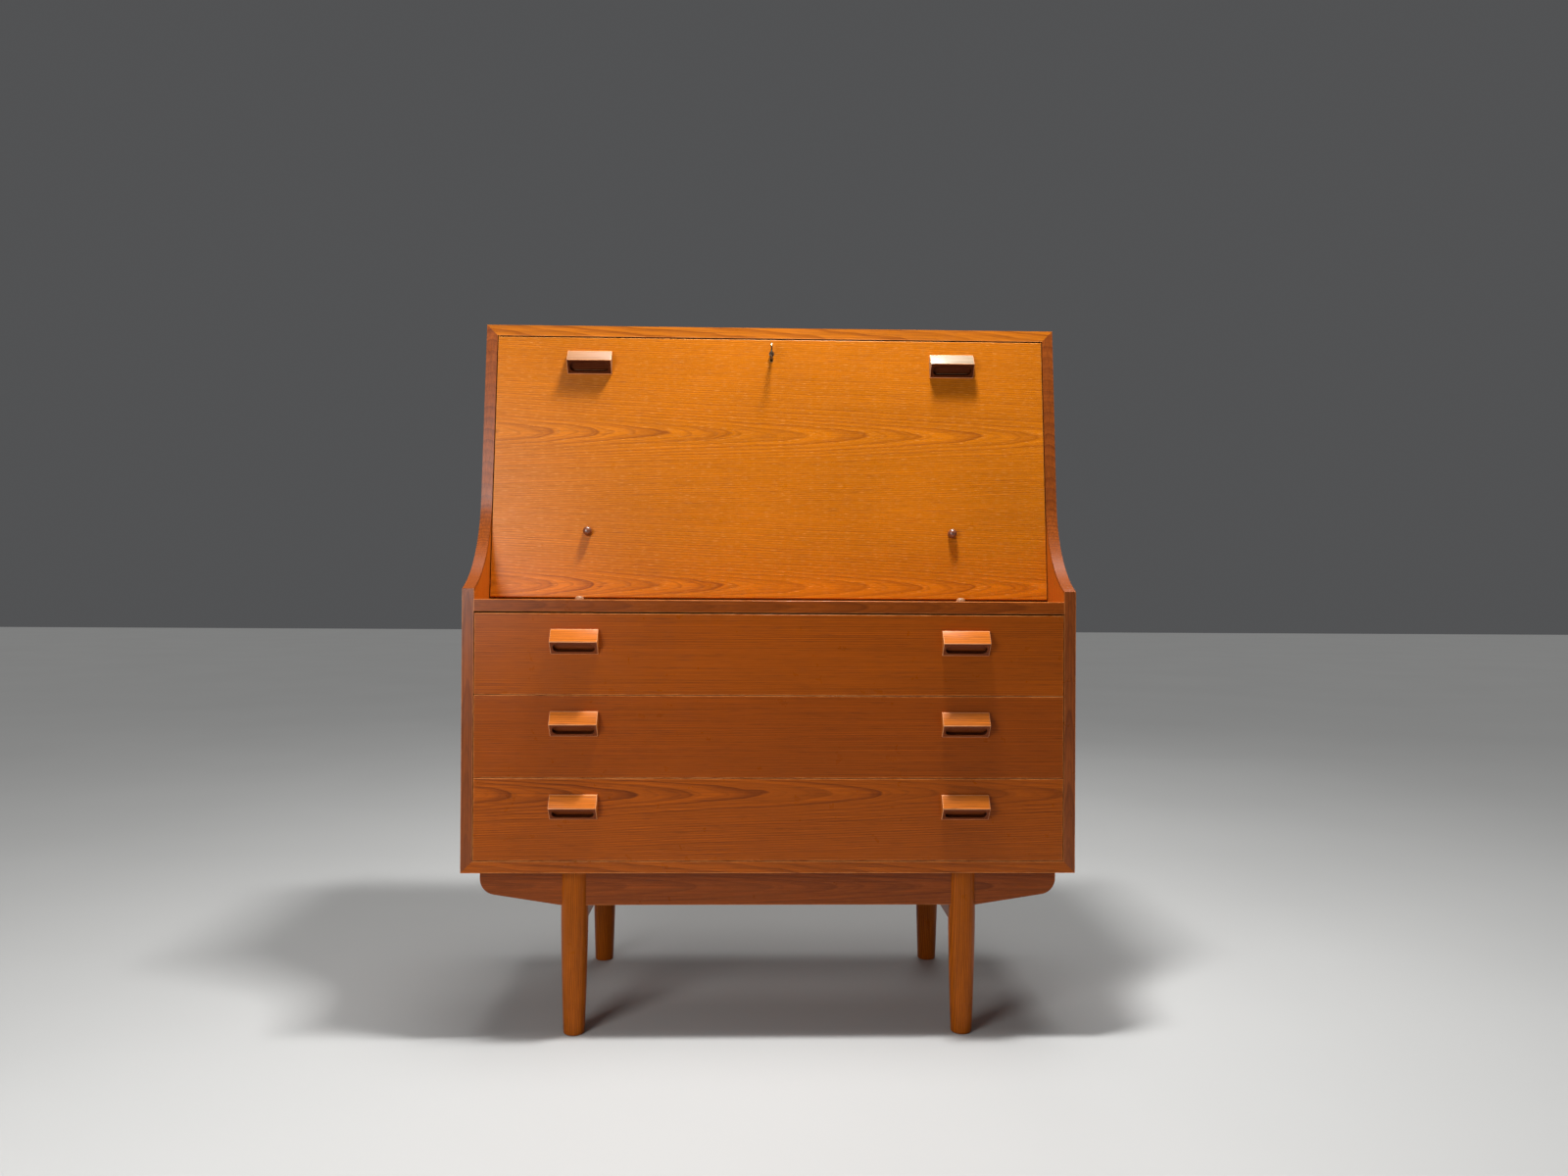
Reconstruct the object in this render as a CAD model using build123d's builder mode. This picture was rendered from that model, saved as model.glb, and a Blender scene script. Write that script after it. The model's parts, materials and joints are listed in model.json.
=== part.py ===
from build123d import *
from math import acos, cos, degrees, radians, sin, sqrt, tan
import os

# A secretary desk: a case of three drawers on turned legs, with a leaning fall front above.
# +X is to the right, +Y to the back, +Z up. The origin is on the floor below the middle of the
# whole desk. Depths are measured backwards from the front plane of the case.

# Case
case_width = 1010
case_depth = 460
case_height = 1209
case_bottom = 275.3
board = 19
edging = 5
worn_edge = 0.8
back_board = 8
rebate = 8

# Ledge and the sweep of the side panels above it
ledge_top = 722.7
ledge_board = 19.9
lip_top = 740.1
lipping = 8
sweep_radius = 190

# Fall front, measured along its outer face from the ledge
lean = 6.28
flap_foot_depth = 104.5
flap_board = 19
flap_length = 467.6
flap_gap = 1.5
pivot_height = 30.9
pivot_inset = 9.5
foot_radius = 28.5
pin_radius = 4
bush_radius = 7
bush_length = 14
running_gap = 0.05

# Pulls
pull_width = 78
pull_height = 41
pull_proud = 19
pull_top_proud = 5
pull_low_proud = 1.5
pull_spacing = 321.5
pull_below_top = 46.3
pull_edge = 0.7
finger_slot = (70, 16, 6.5)
slot_place = 0.45

# Drawers
drawer_pitch = 135.9
drawer_gap = 1
drawer_side = 14
drawer_side_height = 110
drawer_length = 420
drawer_back = 12
drawer_bottom_board = 6
drawer_front_round = 0.9
box_above_front = 8
bottom_above_box = 10
groove_above_box = 47
bottom_tongue = 6
ledge_clearance = 2.5
runner_height = 16
runner_width = 9
groove_height = 17
groove_depth = 7
groove_stop = 8
runner_gap = 3
runner_end_gap = 5
box_clearance = 3

# Base
leg_spacing = 324.4
leg_depths = (40, 420)
leg_radius = 22.5
foot_tip_radius = 17.5
leg_half_way_radius = 20.6
leg_full_height = 190
leg_foot_round = 3
rail_board = 22
rail_height = 60
rail_half_length = 480
rail_taper_start = 346
rail_end_rise = 21
rail_end_radius = 27
side_rail_board = 20
side_rail_bottom = 168
tenon = (10, 34, 15)

# Interior
floor_board = 19
floor_gap = 0.3
fittings_depth = 250
thin_board = 10
shelf_bottom = 954
divider_spacing = 162
small_drawer_height = 84
small_drawer_length = 185
knob_radius = 9

# Lock
key_height = 441
lock_half_width = 32
lock_depth = 12
lock_wall = 1.5
selvedge = 2

# Worked out from the sizes above
front = (pull_proud - case_depth) / 2
half_width = case_width / 2
inside = half_width - board
top_under = case_height - board
ledge_under = ledge_top - ledge_board
drawer_floor = case_bottom + board
slope = tan(radians(lean))
lean_cos = cos(radians(lean))
lean_sin = sin(radians(lean))
drawer_names = ("bottom", "middle", "top")
back_face = case_depth - 2 - back_board

os.makedirs("parts", exist_ok=True)


def save(piece, name):
    piece.part.label = name
    export_step(piece.part, f"parts/{name}.step")


def at(depth):
    """The Y coordinate of a depth behind the front plane of the case."""
    return front + depth


def block(x, depth, z, mode=Mode.ADD):
    """A rectangular board between two X, two depths and two heights."""
    with BuildSketch(Plane.XY.offset(z[0])) as outline:
        with Locations(((x[0] + x[1]) / 2, at((depth[0] + depth[1]) / 2))):
            Rectangle(x[1] - x[0], depth[1] - depth[0])
    extrude(outline.sketch, amount=z[1] - z[0], mode=mode)


def soften(piece, radius, axis, side):
    """Rounds the edges around the outermost face of a board on one side of an axis."""
    face = piece.faces().filter_by(axis).sort_by(axis)[side]
    fillet(face.edges(), radius)


# The leaning face of the fall front, with X across, Y up the slope and Z outwards
flap_face = Plane(
    origin=(0, at(flap_foot_depth), ledge_top),
    x_dir=(1, 0, 0),
    z_dir=(0, -lean_cos, lean_sin),
)


def across(face, x=0, up=0):
    """A plane across a face, with X out of the face, Y up it and Z to the left."""
    origin = face.from_local_coords((x, up, 0))
    return Plane(origin=origin, x_dir=face.z_dir, z_dir=face.z_dir.cross(face.y_dir))


def case_outline(grow=0):
    """The side view of the case. The sweep meets the leaning line as a tangent."""
    gap = flap_foot_depth * lean_cos + (lip_top - ledge_top) * lean_sin
    turn = degrees(acos(1 - gap / sweep_radius))
    start = 90 - lean - turn
    top = case_height + grow
    top_depth = flap_foot_depth + (top - ledge_top) * slope
    back = case_depth + grow
    with BuildSketch(Plane.YZ) as outline:
        with BuildLine():
            lip = (at(0), lip_top)
            sweep = JernArc(lip, (cos(radians(start)), sin(radians(start))), sweep_radius, turn)
            Polyline(
                sweep @ 1,
                (at(top_depth), top),
                (at(back), top),
                (at(back), case_bottom - grow),
                (at(0), case_bottom - grow),
                lip,
            )
        make_face()
    return outline.sketch_local


# Side view of the case without its solid front edging
with BuildSketch(Plane.YZ) as core_outline:
    add(case_outline(grow=4 * edging))
    offset(amount=-edging, kind=Kind.INTERSECTION)
    add(case_outline(), mode=Mode.INTERSECT)

with BuildSketch(Plane.YZ) as edging_outline:
    add(case_outline())
    add(core_outline.sketch_local, mode=Mode.SUBTRACT)

# Spaces that trim the boards of the case to mitred corners
outer_corners = (
    (-half_width, case_bottom),
    (half_width, case_bottom),
    (half_width, case_height),
    (-half_width, case_height),
)
inner_corners = (
    (-inside, drawer_floor),
    (inside, drawer_floor),
    (inside, top_under),
    (-inside, top_under),
)


def mitred(first, second):
    """The space of one board, between two neighbouring corners of the case."""
    with BuildPart() as space:
        with BuildSketch(Plane.XZ):
            Polygon(
                outer_corners[first],
                outer_corners[second],
                inner_corners[second],
                inner_corners[first],
                align=None,
            )
        extrude(amount=2 * case_depth, both=True)
    return space.part


# Wood screws that hold the two back boards in their rebate
screw_columns = 4
screw_rows = (330, 450, 580, 690, 745, 880, 1020, 1160)
screw_radius = 1.5
screw_head_radius = 3
screw_head = 2
screw_length = 17
below = (Align.CENTER, Align.CENTER, Align.MAX)
above = (Align.CENTER, Align.CENTER, Align.MIN)

screw_points = []
for height in screw_rows:
    screw_points.append((-inside - rebate / 2, height))
    screw_points.append((inside + rebate / 2, height))
for column in range(screw_columns):
    x = (column - (screw_columns - 1) / 2) * 2 * inside / screw_columns
    screw_points.append((x, drawer_floor - rebate / 2))
    screw_points.append((x, top_under + rebate / 2))

with BuildPart() as back_panel_screws:
    for x, height in screw_points:
        with Locations(Plane(origin=(x, at(back_face + back_board), height), z_dir=(0, 1, 0))):
            Cone(screw_radius, screw_head_radius, screw_head, align=below)
            Cylinder(screw_radius, screw_length, align=below)
save(back_panel_screws, "back_panel_screws")

with BuildPart() as rebate_space:
    block(
        (-inside - rebate, inside + rebate),
        (back_face, case_depth),
        (drawer_floor - rebate, top_under + rebate),
    )

# Brass bushes in the side panels, which carry the fall front's pivot pins
pivot = flap_face.from_local_coords((0, pivot_height, -pivot_inset))
pivot_plane = Plane(origin=pivot, x_dir=(0, 1, 0), z_dir=(1, 0, 0))
with BuildPart() as pivot_bushes:
    for side in (-1, 1):
        plane = pivot_plane.offset(side * inside)
        with BuildSketch(plane):
            Circle(bush_radius)
            Circle(pin_radius + running_gap, mode=Mode.SUBTRACT)
        extrude(amount=side * bush_length)
save(pivot_bushes, "pivot_bushes")

# Side panels, with their rebate, screw holes and blind holes for the bushes
for side, name in ((-1, "left"), (1, "right")):
    with BuildPart() as side_panel:
        with BuildSketch(Plane.YZ.offset(-half_width)):
            add(core_outline.sketch_local)
        extrude(amount=board)
        add(mitred(3, 0), mode=Mode.INTERSECT)
        add(rebate_space.part, mode=Mode.SUBTRACT)
        with BuildSketch(pivot_plane.offset(-inside)):
            Circle(bush_radius)
        extrude(amount=-bush_length, mode=Mode.SUBTRACT)
        add(back_panel_screws.part, mode=Mode.SUBTRACT)
        if side == 1:
            mirror(about=Plane.YZ, mode=Mode.REPLACE)
    save(side_panel, f"side_panel_{name}")
    with BuildPart() as side_edging:
        with BuildSketch(Plane.YZ.offset(-half_width)):
            add(edging_outline.sketch_local)
        extrude(amount=board)
        add(mitred(3, 0), mode=Mode.INTERSECT)
        if side == 1:
            mirror(about=Plane.YZ, mode=Mode.REPLACE)
    save(side_edging, f"side_edging_{name}")

# The bolt slides in the lock along the slope of the fall front
bolt_inset = 13
bolt_board = 5
bolt_tip = flap_length - 1
bolt_body = (450.5, 456)
bolt_width = 14
bolt_throw = 8
slot_gap = 0.8

# Strike plate let into the top panel, with a pocket above it for the bolt
strike_depths = (162, 175)
strike_half_width = 26
strike_board = 1.5
strike_hole_spacing = 18
strike_hole_radius = 1.5
pocket_depths = (164.5, 173)
pocket_half_width = 8.5
pocket_height = 9
with BuildPart() as strike_plate:
    block(
        (-strike_half_width, strike_half_width),
        strike_depths,
        (top_under, top_under + strike_board),
    )
    block(
        (-pocket_half_width, pocket_half_width),
        pocket_depths,
        (top_under, top_under + strike_board),
        mode=Mode.SUBTRACT,
    )
    strike_middle = at(sum(strike_depths) / 2)
    with Locations(Plane.XY.offset(top_under)):
        with Locations((-strike_hole_spacing, strike_middle), (strike_hole_spacing, strike_middle)):
            Hole(strike_hole_radius)
save(strike_plate, "strike_plate")

with BuildPart() as top_panel:
    with BuildSketch(Plane.YZ):
        add(case_outline())
    extrude(amount=half_width, both=True)
    add(mitred(2, 3), mode=Mode.INTERSECT)
    add(rebate_space.part, mode=Mode.SUBTRACT)
    block(
        (-strike_half_width, strike_half_width),
        strike_depths,
        (top_under, top_under + strike_board),
        mode=Mode.SUBTRACT,
    )
    block(
        (-pocket_half_width, pocket_half_width),
        pocket_depths,
        (top_under, top_under + pocket_height),
        mode=Mode.SUBTRACT,
    )
    add(back_panel_screws.part, mode=Mode.SUBTRACT)
save(top_panel, "top_panel")

# Fixing screws of the base, driven up through the long rails into the bottom panel
base_screw_bite = 14
base_screw_seat = 20
base_screw_radius = 2.2
base_screw_head = (4.5, 3)
base_screw_bore = 5.5
base_screw_points = [(x, at(depth)) for depth in leg_depths for x in (-200, 0, 200)]
with BuildPart() as base_screws:
    with Locations(*[(x, y, case_bottom - base_screw_seat) for x, y in base_screw_points]):
        Cylinder(base_screw_radius, base_screw_seat + base_screw_bite, align=above)
        Cylinder(base_screw_head[0], base_screw_head[1], align=below)
save(base_screws, "base_screws")

with BuildPart() as bottom_panel:
    with BuildSketch(Plane.YZ):
        add(case_outline())
    extrude(amount=half_width, both=True)
    add(mitred(0, 1), mode=Mode.INTERSECT)
    add(rebate_space.part, mode=Mode.SUBTRACT)
    add(back_panel_screws.part, mode=Mode.SUBTRACT)
    add(base_screws.part, mode=Mode.SUBTRACT)
save(bottom_panel, "bottom_panel")

# Back boards, which meet behind the ledge
back_seam = ledge_top - ledge_board / 2
for name, low, high in (
    ("lower", drawer_floor - rebate, back_seam),
    ("upper", back_seam, top_under + rebate),
):
    with BuildPart() as back_panel:
        block(
            (-inside - rebate, inside + rebate),
            (back_face, back_face + back_board),
            (low, high),
        )
        add(back_panel_screws.part, mode=Mode.SUBTRACT)
    save(back_panel, f"back_panel_{name}")


peg_shank = (5, 10)


def peg(radius, height, crown):
    """A turned peg on the XY plane, with a domed head and a hidden shank below it."""
    with BuildPart() as turned:
        Cylinder(radius, height, align=above)
        fillet(turned.edges().group_by(Axis.Z)[-1], crown)
        Cylinder(peg_shank[0], peg_shank[1], align=below)
    return turned.part


# Pegs that stop the fall front when it is open: one pair on the ledge, one on the flap
peg_spacing = 318.5
flap_peg_up = 119
pivot_depth = pivot.Y - front
open_peg_depth = pivot_depth - (flap_peg_up - pivot_height)
ledge_peg = peg(7.5, 6.2, 5.8)
flap_peg = peg(7.75, 13.6, 7)
with BuildPart() as ledge_pegs:
    with Locations(*[(x, at(open_peg_depth), ledge_top) for x in (-peg_spacing, peg_spacing)]):
        add(ledge_peg)
save(ledge_pegs, "ledge_pegs")
with BuildPart() as flap_pegs:
    for x in (-peg_spacing, peg_spacing):
        seat = flap_face.from_local_coords((x, flap_peg_up, 0))
        with Locations(Plane(origin=seat, x_dir=(1, 0, 0), z_dir=flap_face.z_dir)):
            add(flap_peg)
save(flap_pegs, "flap_pegs")

with BuildPart() as ledge_panel:
    block((-inside, inside), (lipping, back_face), (ledge_under, ledge_top))
    add(ledge_pegs.part, mode=Mode.SUBTRACT)
save(ledge_panel, "ledge_panel")
with BuildPart() as ledge_lipping:
    block((-inside, inside), (0, lipping), (ledge_under, ledge_top))
    fillet(ledge_lipping.edges().filter_by(Axis.X).group_by(Axis.Y)[0], worn_edge)
save(ledge_lipping, "ledge_lipping")

# Raised desk floor, level with the open fall front, on two bearers
floor_top = pivot.Z + pivot_inset - floor_gap
floor_under = floor_top - floor_board
floor_front = pivot_depth + foot_radius + flap_gap
with BuildPart() as desk_floor:
    block((-inside, inside), (floor_front, back_face), (floor_under, floor_top))
    fillet(desk_floor.edges().filter_by(Axis.X).group_by(Axis.Y)[0].sort_by(Axis.Z)[-1], worn_edge)
save(desk_floor, "desk_floor")
bearer_width = 30
with BuildPart() as floor_bearers:
    for low in (floor_front + 8, back_face - 10 - bearer_width):
        block((-inside, inside), (low, low + bearer_width), (ledge_top, floor_under))
save(floor_bearers, "floor_bearers")

# Interior fittings: a full shelf on two dividers, with a small drawer in each outer bay
shelf_top = shelf_bottom + thin_board + 2
divider = thin_board + 2
bay_top = floor_top + small_drawer_height + 2
with BuildPart() as interior_shelf:
    block((-inside, inside), (fittings_depth, back_face), (shelf_bottom, shelf_top))
    fillet(interior_shelf.edges().filter_by(Axis.X).group_by(Axis.Y)[0], 1)
save(interior_shelf, "interior_shelf")
with BuildPart() as interior_dividers:
    for x in (-divider_spacing, divider_spacing):
        block(
            (x - divider / 2, x + divider / 2),
            (fittings_depth, back_face),
            (floor_top, shelf_bottom),
        )
save(interior_dividers, "interior_dividers")
with BuildPart() as bay_shelves:
    for x in ((-inside, -divider_spacing - divider / 2), (divider_spacing + divider / 2, inside)):
        block(x, (fittings_depth, back_face), (bay_top, bay_top + thin_board))
save(bay_shelves, "bay_shelves")
pigeonholes = 5
partition = 6
partition_setback = 15
with BuildPart() as pigeonhole_partitions:
    for step in range(1, pigeonholes):
        x = -inside + step * 2 * inside / pigeonholes
        block(
            (x - partition / 2, x + partition / 2),
            (fittings_depth + partition_setback, back_face),
            (shelf_top, top_under),
        )
    fillet(pigeonhole_partitions.edges().filter_by(Axis.Z).group_by(Axis.Y)[0], partition / 3)
save(pigeonhole_partitions, "pigeonhole_partitions")

# Stop strip under the top panel, which the closed fall front rests against
strip_height = 12
strip_board = 14
strip_depth = flap_foot_depth + flap_board / lean_cos + floor_gap
with BuildPart() as flap_stop_strip:
    with BuildSketch(Plane.YZ):
        low, high = top_under - strip_height, top_under
        low_depth = strip_depth + (low - ledge_top) * slope
        high_depth = strip_depth + (high - ledge_top) * slope
        Polygon(
            (at(low_depth), low),
            (at(low_depth + strip_board), low),
            (at(low_depth + strip_board), high),
            (at(high_depth), high),
            align=None,
        )
    extrude(amount=inside, both=True)
save(flap_stop_strip, "flap_stop_strip")


def pulls(face, up):
    """A pair of wedge-shaped pulls on a face, each with a finger slot in its underside."""
    half = pull_height / 2
    drop = (pull_proud - pull_low_proud, half)
    under = face.z_dir * drop[1] - face.y_dir * drop[0]
    for x in (-pull_spacing, pull_spacing):
        with BuildSketch(across(face, x, up)) as profile:
            Polygon(
                (0, half),
                (pull_top_proud, half),
                (pull_proud, 0),
                (pull_low_proud, -half),
                (0, -half),
                align=None,
            )
        extrude(profile.sketch, amount=pull_width / 2, both=True)
    away_from_face = ShapeList(
        edge
        for edge in edges()
        if (edge.center() - face.origin).dot(face.z_dir) > pull_low_proud / 2
    )
    fillet(away_from_face, pull_edge)
    for x in (-pull_spacing, pull_spacing):
        middle = face.from_local_coords(
            (x, up - half * slot_place, pull_proud - drop[0] * slot_place)
        )
        slope_plane = Plane(origin=middle, x_dir=face.x_dir, z_dir=under)
        with BuildSketch(slope_plane) as slot:
            SlotOverall(finger_slot[0], finger_slot[1])
        extrude(slot.sketch, amount=-finger_slot[2], mode=Mode.SUBTRACT)


# Drawers: a front with two pulls, and a box that hangs on runners in the case
runner_lows = []
case_front = Plane(origin=(0, at(0), 0), x_dir=(1, 0, 0), z_dir=(0, -1, 0))
for level, level_name in enumerate(drawer_names):
    low = drawer_floor + level * drawer_pitch + drawer_gap
    high = drawer_floor + (level + 1) * drawer_pitch
    if level == len(drawer_names) - 1:
        high = ledge_under - ledge_clearance
    box_low = low + box_above_front
    box_high = box_low + drawer_side_height
    outer = inside - box_clearance
    inner = outer - drawer_side
    back_end = board + drawer_length
    bottom_low = box_low + bottom_above_box
    bottom_high = bottom_low + drawer_bottom_board
    groove_low = box_low + groove_above_box
    runner_lows.append(groove_low + (groove_height - runner_height) / 2)
    bottom_x = (-inner - bottom_tongue, inner + bottom_tongue)
    bottom_depths = (board - bottom_tongue, back_end)

    with BuildPart() as drawer_front:
        block((-inside + drawer_gap, inside - drawer_gap), (0, board), (low, high))
        soften(drawer_front, drawer_front_round, Axis.Y, 0)
        block(bottom_x, bottom_depths, (bottom_low, bottom_high), mode=Mode.SUBTRACT)
    save(drawer_front, f"drawer_{level_name}_front")

    for side, side_name in ((-1, "left"), (1, "right")):
        side_x = sorted((side * inner, side * outer))
        groove_x = sorted((side * (outer - groove_depth), side * outer))
        with BuildPart() as drawer_side_board:
            block(side_x, (board, back_end), (box_low, box_high))
            block(
                groove_x,
                (board + groove_stop, back_end),
                (groove_low, groove_low + groove_height),
                mode=Mode.SUBTRACT,
            )
            block(bottom_x, bottom_depths, (bottom_low, bottom_high), mode=Mode.SUBTRACT)
        save(drawer_side_board, f"drawer_{level_name}_side_{side_name}")

    with BuildPart() as drawer_back_board:
        block((-inner, inner), (back_end - drawer_back, back_end), (bottom_high, box_high))
    save(drawer_back_board, f"drawer_{level_name}_back")

    with BuildPart() as drawer_bottom:
        block(bottom_x, bottom_depths, (bottom_low, bottom_high))
    save(drawer_bottom, f"drawer_{level_name}_bottom")

    with BuildPart() as drawer_pulls:
        pulls(case_front, high - pull_below_top)
    save(drawer_pulls, f"drawer_{level_name}_pulls")

with BuildPart() as drawer_runners:
    for low in runner_lows:
        for side in (-1, 1):
            x = sorted((side * inside, side * (inside - runner_width)))
            block(
                x,
                (board + groove_stop + runner_gap, back_face - runner_end_gap),
                (low, low + runner_height),
            )
save(drawer_runners, "drawer_runners")

# Small drawers of the interior: each is a front with a knob, two sides, a back and a bottom
small_board = 8
small_side_drop = 8
small_bottom = 5
knob_neck = (4, 8)
for side, name in ((-1, "left"), (1, "right")):
    drawer_x = sorted((side * (divider_spacing + divider / 2 + 1), side * (inside - 1)))
    low = floor_top + 1
    high = bay_top - 1
    front_end = fittings_depth + divider
    back_end = fittings_depth + small_drawer_length
    with BuildPart() as small_drawer:
        block(drawer_x, (fittings_depth, front_end), (low, high))
        for x in (drawer_x[0], drawer_x[1] - small_board):
            block((x, x + small_board), (front_end, back_end), (low, high - small_side_drop))
        inner_x = (drawer_x[0] + small_board, drawer_x[1] - small_board)
        block(inner_x, (back_end - small_board, back_end), (low, high - small_side_drop))
        block(inner_x, (front_end, back_end - small_board), (low, low + small_bottom))
        knob_place = ((drawer_x[0] + drawer_x[1]) / 2, at(fittings_depth), (low + high) / 2)
        with Locations(Plane(origin=knob_place, z_dir=(0, -1, 0))):
            Cylinder(knob_neck[0], knob_neck[1], align=above)
            with Locations((0, 0, knob_neck[1])):
                Sphere(knob_radius)
    save(small_drawer, f"small_drawer_{name}")

# Lock bolt, with a wide body inside the case and a neck that comes out of the flap's top edge
with BuildPart() as lock_bolt:
    with BuildSketch(flap_face.offset(-bolt_inset)):
        with Locations((0, sum(bolt_body) / 2)):
            Rectangle(2 * bolt_width, bolt_body[1] - bolt_body[0])
        with Locations((0, (bolt_body[1] + bolt_tip) / 2)):
            Rectangle(bolt_width, bolt_tip - bolt_body[1])
    extrude(amount=bolt_board / 2, both=True)
save(lock_bolt, "lock_bolt")


def keyhole(grow=0.0):
    """A round hole with a slot below it, on the slope of the fall front."""
    slot_foot = 426.4
    with BuildSketch() as hole:
        with Locations((0, key_height)):
            Circle(3.4 + grow)
        with Locations((0, (slot_foot + 1 + key_height) / 2)):
            RectangleRounded(3.8 + 2 * grow, key_height - slot_foot - 1 + 2 * grow, 1.5)
    return hole.sketch


liner_wall = 0.8
with BuildPart() as keyhole_liner:
    with BuildSketch(flap_face.offset(0.4)):
        add(keyhole(liner_wall))
        add(keyhole(), mode=Mode.SUBTRACT)
    extrude(amount=lock_depth - flap_board - 0.4)
save(keyhole_liner, "keyhole_liner")

selvedge_half_width = lock_half_width + 13
lock_foot = 425
lock_screw_spacing = 39
lock_back = -flap_board
lock_front = lock_depth - flap_board


def lock_body(mode):
    """The outside of the lock: a flat box with a wider plate along the flap's top edge."""
    with BuildSketch(flap_face.offset(lock_back)) as outline:
        with Locations((0, (lock_foot + flap_length) / 2)):
            Rectangle(2 * lock_half_width, flap_length - lock_foot)
        with Locations((0, flap_length - selvedge / 2)):
            Rectangle(2 * selvedge_half_width, selvedge)
    extrude(outline.sketch, amount=lock_depth, mode=mode)


lock_top = flap_face.from_local_coords((0, flap_length, (lock_back + lock_front) / 2))
lock_top_plane = Plane(origin=lock_top, x_dir=(1, 0, 0), z_dir=flap_face.y_dir)
lock_screw_radius = 1.4
lock_screw_head = (2.8, 1.6)
lock_screw_length = 16
with BuildPart() as lock_screws:
    with Locations(lock_top_plane):
        with Locations((-lock_screw_spacing, 0), (lock_screw_spacing, 0)):
            Cone(lock_screw_radius, lock_screw_head[0], lock_screw_head[1], align=below)
            Cylinder(lock_screw_radius, lock_screw_length, align=below)
save(lock_screws, "lock_screws")

with BuildPart() as lock_case:
    lock_body(Mode.ADD)
    with BuildSketch(flap_face.offset(lock_back + lock_wall)):
        with Locations((0, (lock_foot + flap_length - selvedge) / 2)):
            Rectangle(
                2 * (lock_half_width - lock_wall),
                flap_length - selvedge - lock_foot - 2 * lock_wall,
            )
    extrude(amount=lock_depth - 2 * lock_wall, mode=Mode.SUBTRACT)
    with BuildSketch(flap_face.offset(-bolt_inset)):
        with Locations((0, flap_length)):
            Rectangle(bolt_width + 2 * slot_gap, 12)
    extrude(amount=bolt_board / 2 + slot_gap, both=True, mode=Mode.SUBTRACT)
    with BuildSketch(flap_face.offset(lock_front)):
        add(keyhole())
    extrude(amount=-lock_wall, mode=Mode.SUBTRACT)
    add(lock_screws.part, mode=Mode.SUBTRACT)
save(lock_case, "lock_case")

# Key: a flat ring bow on a round shank, with a bit inside the lock
bow_size = (20, 15)
shank_out = 11
with BuildPart() as key:
    with BuildSketch(flap_face.offset(lock_back + 4)):
        with Locations((0, key_height)):
            Circle(2.9)
    extrude(amount=flap_board - 4 + shank_out)
    with BuildSketch(flap_face.offset(2.5)):
        with Locations((0, key_height)):
            Circle(4.4)
    extrude(amount=2)
    with BuildSketch(flap_face.offset(lock_back + 4.5)):
        with Locations((0, key_height - 5)):
            Rectangle(2, 6)
    extrude(amount=4.5)
    with BuildSketch(across(flap_face, 0, key_height)):
        with Locations((shank_out + bow_size[0] / 2 - 1.5, 0)):
            Ellipse(bow_size[0] / 2, bow_size[1])
            Ellipse(bow_size[0] / 2 - 4.2, bow_size[1] - 4.2, mode=Mode.SUBTRACT)
    extrude(amount=1.3, both=True)
save(key, "key")

# Pivot pins, fixed in the ends of the flap and turning in the bushes
flap_half_width = inside - flap_gap
pin_bury = 30
with BuildPart() as pivot_pins:
    for side in (-1, 1):
        with BuildSketch(pivot_plane.offset(side * (flap_half_width - pin_bury))):
            Circle(pin_radius)
        extrude(amount=side * (pin_bury + flap_gap + bush_length - 2))
save(pivot_pins, "pivot_pins")

# Fall front: its foot is rounded about the pivot, so that it turns clear of the ledge
foot_side = pivot_height - sqrt(foot_radius**2 - pivot_inset**2)
with BuildPart() as fall_front:
    with BuildSketch(across(flap_face)):
        with BuildLine():
            ThreePointArc(
                (-2 * pivot_inset, foot_side),
                (-pivot_inset, pivot_height - foot_radius),
                (0, foot_side),
            )
            Polyline(
                (0, foot_side),
                (0, flap_length),
                (-flap_board, flap_length),
                (-flap_board, foot_side),
            )
        make_face()
    extrude(amount=flap_half_width, both=True)
    outer_face = fall_front.faces().sort_by(Axis(flap_face.origin, flap_face.z_dir))[-1]
    fillet(outer_face.edges(), 0.9)
    lock_body(Mode.SUBTRACT)
    with BuildSketch(flap_face):
        add(keyhole(liner_wall))
    extrude(amount=-flap_board / 2, mode=Mode.SUBTRACT)
    add(lock_screws.part, mode=Mode.SUBTRACT)
    add(flap_pegs.part, mode=Mode.SUBTRACT)
    add(pivot_pins.part, mode=Mode.SUBTRACT)
save(fall_front, "fall_front")

with BuildPart() as flap_pulls:
    pulls(flap_face, flap_length - pull_below_top)
save(flap_pulls, "flap_pulls")

# Base: long rails front and back, bridled into four turned legs that short rails join
leg_fork = case_bottom - rail_height
with BuildPart() as leg_blank:
    with BuildSketch(Plane.XZ):
        with BuildLine():
            taper = ThreePointArc(
                (foot_tip_radius, 0),
                (leg_half_way_radius, leg_full_height / 2),
                (leg_radius, leg_full_height),
            )
            Polyline(
                taper @ 1,
                (leg_radius, case_bottom),
                (0, case_bottom),
                (0, 0),
                (foot_tip_radius, 0),
            )
        make_face()
    revolve(axis=Axis.Z)
    fillet(leg_blank.edges().group_by(Axis.Z)[0], leg_foot_round)

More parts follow.
